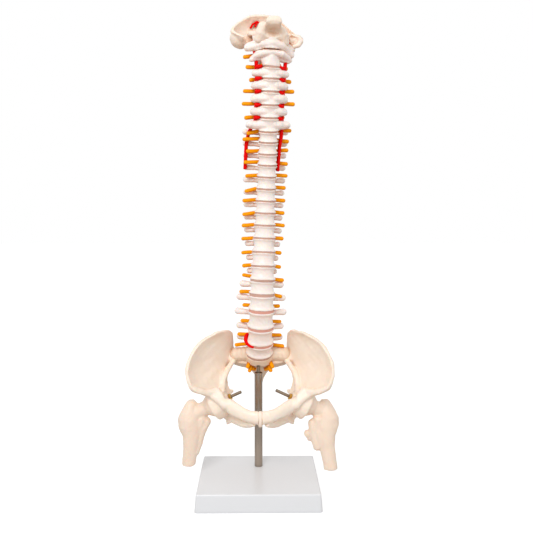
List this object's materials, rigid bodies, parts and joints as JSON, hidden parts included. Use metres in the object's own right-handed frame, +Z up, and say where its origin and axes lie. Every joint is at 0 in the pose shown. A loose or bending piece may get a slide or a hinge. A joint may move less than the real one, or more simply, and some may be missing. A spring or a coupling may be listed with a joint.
{
  "type": "spine anatomy model",
  "caption": "Flexible human spine model with pelvis, swinging femur stumps, occipital plate, nerves and arteries, on a tube stand with a flat base.",
  "frame": {"origin": "middle of the base's underside, on its cross rib", "axes": "+Z up along the spine, -Y towards the front of the body, +X towards the body's left"},
  "size_m": [0.1565, 0.1098, 0.4563],
  "materials": {
    "bone": "satin",
    "disc": "satin",
    "nerve": "gloss",
    "artery": "gloss",
    "tube_steel": "satin",
    "steel": "satin",
    "brass": "satin",
    "base_plastic": "satin"
  },
  "bodies": {
    "column": {"base": "base_plastic", "base_washer": "steel", "base_screw": "steel", "stand_tube": "tube_steel", "stand_pin": "steel", "sacrum": "bone", "coccyx": "bone", "hip_bone_left": "bone", "hip_bone_right": "bone", "pubic_symphysis": "disc", "disc_l5_s1": "disc", "disc_l4_l5": "disc", "disc_l3_l4": "disc", "disc_l2_l3": "disc", "disc_l1_l2": "disc", "thoracic_discs": "disc", "cervical_discs": "disc", "disc_prolapse": "artery", "l5": "bone", "l4": "bone", "l3": "bone", "l2": "bone", "l1": "bone", "t12": "bone", "t11": "bone", "t10": "bone", "t9": "bone", "t8": "bone", "t7": "bone", "t6": "bone", "t5": "bone", "t4": "bone", "t3": "bone", "t2": "bone", "t1": "bone", "c7": "bone", "c6": "bone", "c5": "bone", "c4": "bone", "c3": "bone", "c2_axis": "bone", "c1_atlas": "bone", "occiput": "bone", "skull_artery": "artery", "spinal_cord": "nerve", "flexible_core": "steel", "cervical_nerves": "nerve", "thoracic_nerves": "nerve", "lumbar_nerves": "nerve", "sacral_nerves": "nerve", "vertebral_artery_left": "artery", "vertebral_artery_right": "artery"},
    "femur_left": {"femur_left": "bone", "femur_bolt_left": "steel", "femur_nut_left": "brass"},
    "femur_right": {"femur_right": "bone", "femur_bolt_right": "steel", "femur_nut_right": "brass"}
  },
  "joints": [
    {"name": "femur_left_hinge", "type": "hinge", "parent": "column", "child": "femur_left", "pos_m": [0.0451, -0.002, 0.0885], "axis": [-0.8857, -0.1222, 0.4479], "range_deg": [-10, 30]},
    {"name": "femur_right_hinge", "type": "hinge", "parent": "column", "child": "femur_right", "pos_m": [-0.0419, -0.002, 0.0885], "axis": [0.8857, -0.1222, 0.4479], "range_deg": [-20, 20]}
  ]
}
